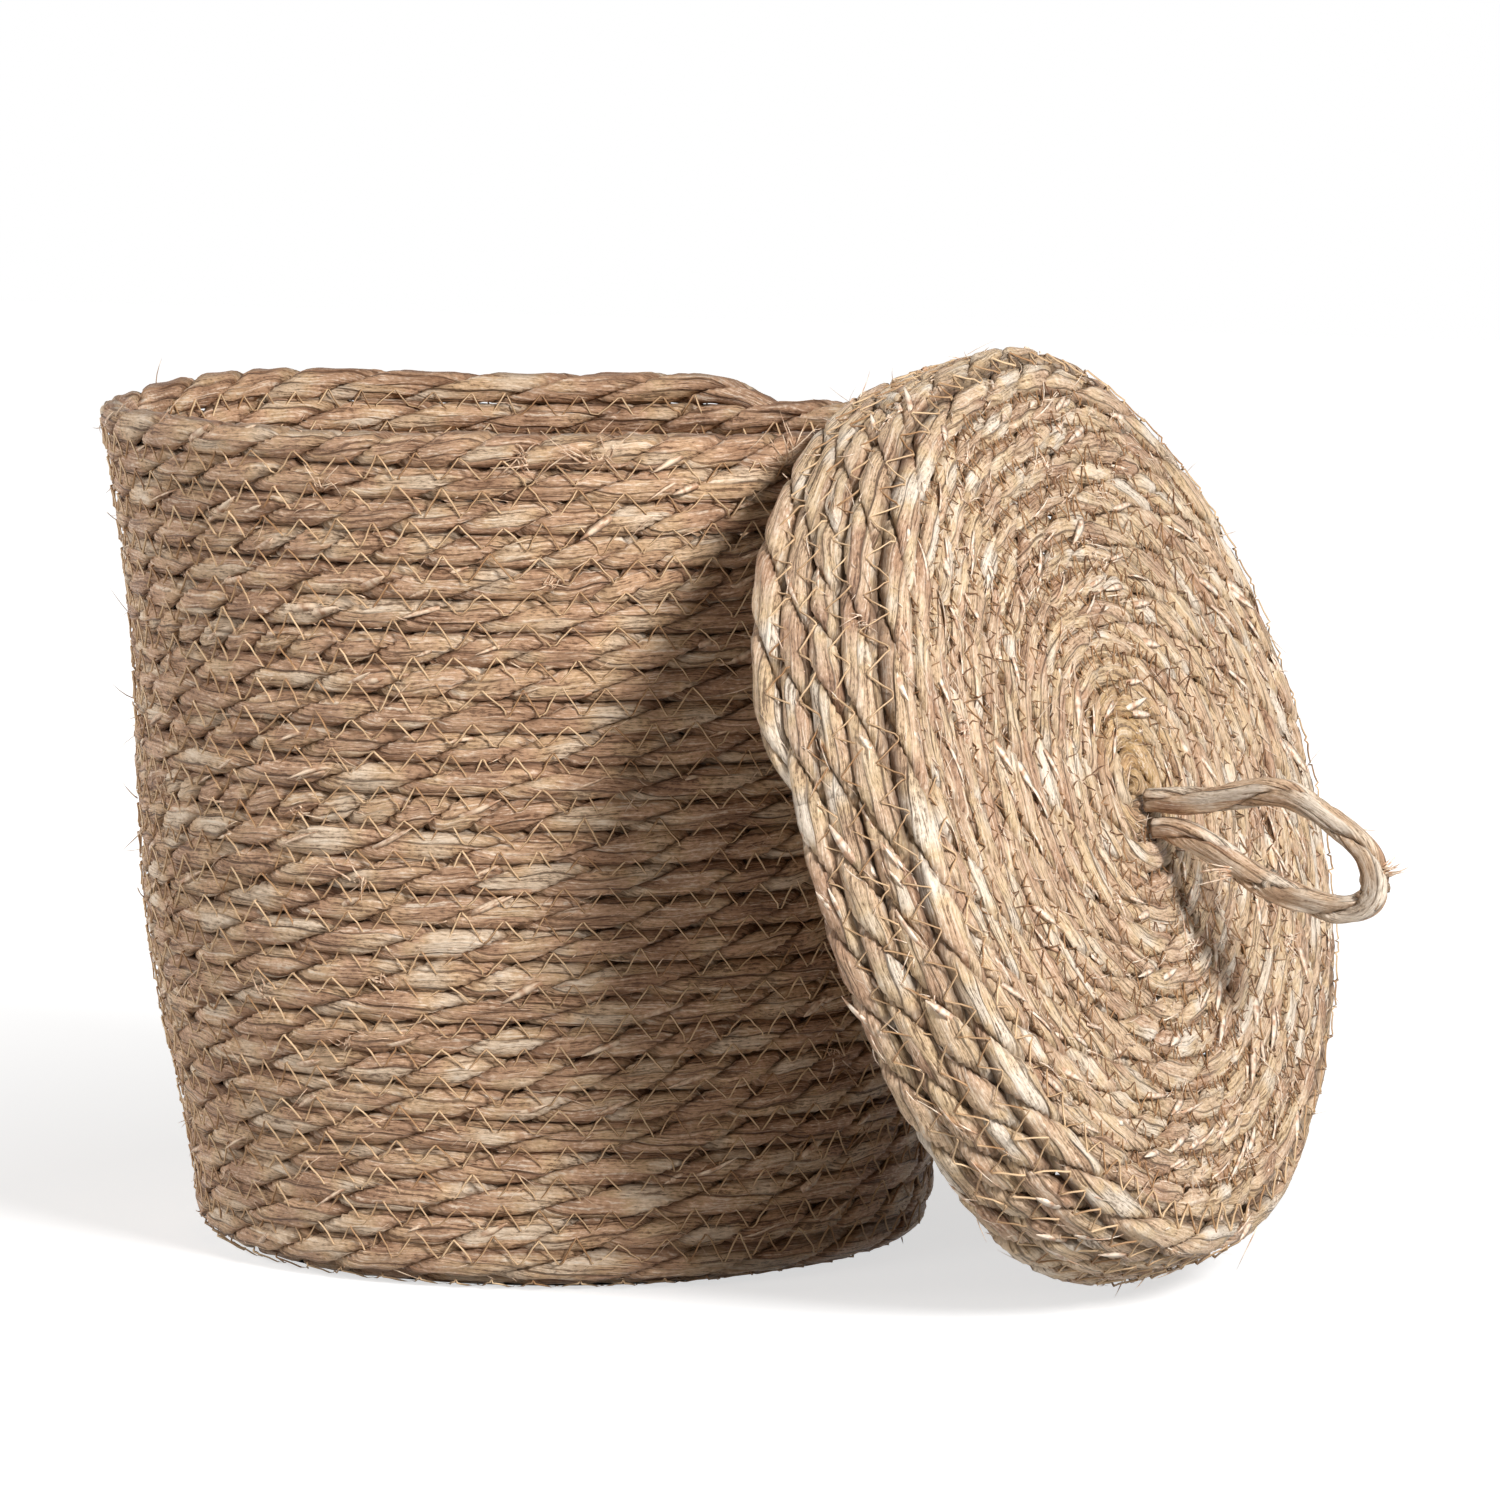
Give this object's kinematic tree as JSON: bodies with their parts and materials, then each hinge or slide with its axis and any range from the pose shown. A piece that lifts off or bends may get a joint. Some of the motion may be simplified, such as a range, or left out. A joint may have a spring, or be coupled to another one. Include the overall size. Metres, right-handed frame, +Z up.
{
  "type": "woven laundry basket",
  "caption": "Round coiled rope laundry basket, slightly wider at the rim, with a shallow domed lid and a rope loop handle; the lid leans on the rim",
  "frame": {"origin": "centre of the basket's flat underside, on the floor", "axes": "+Z up; +X towards the side where the lid leans, along the level part of the lid's axis; +Y by the right-hand rule"},
  "size_m": [0.6275, 0.451, 0.4303],
  "materials": {
    "rope_basket": "twisted dried leaf rope, matte",
    "rope_lid": "twisted dried leaf rope, paler, matte",
    "rope_handle": "twisted dried leaf cord, smooth, satin"
  },
  "bodies": {
    "basket": {"base_coil": "rope_basket", "lower_wall_coil": "rope_basket", "middle_wall_coil": "rope_basket", "upper_wall_coil": "rope_basket", "rim_coil": "rope_basket"},
    "lid": {"lid_top_coil": "rope_lid", "lid_skirt_coil": "rope_lid", "lid_edge_coil": "rope_lid", "handle_knots": "rope_handle"},
    "handle": {"handle_loop": "rope_handle"}
  },
  "joints": [
    {"name": "lid_lift_off", "type": "slide", "parent": "basket", "child": "lid", "axis": [0.9542, 0, 0.2991], "range_m": [0, 0.3]},
    {"name": "handle_swing", "type": "hinge", "parent": "lid", "child": "handle", "pos_m": [0.31764, -0.03, 0.2156], "axis": [-0.2991, 0, 0.9542], "range_deg": [-75, 75]}
  ]
}
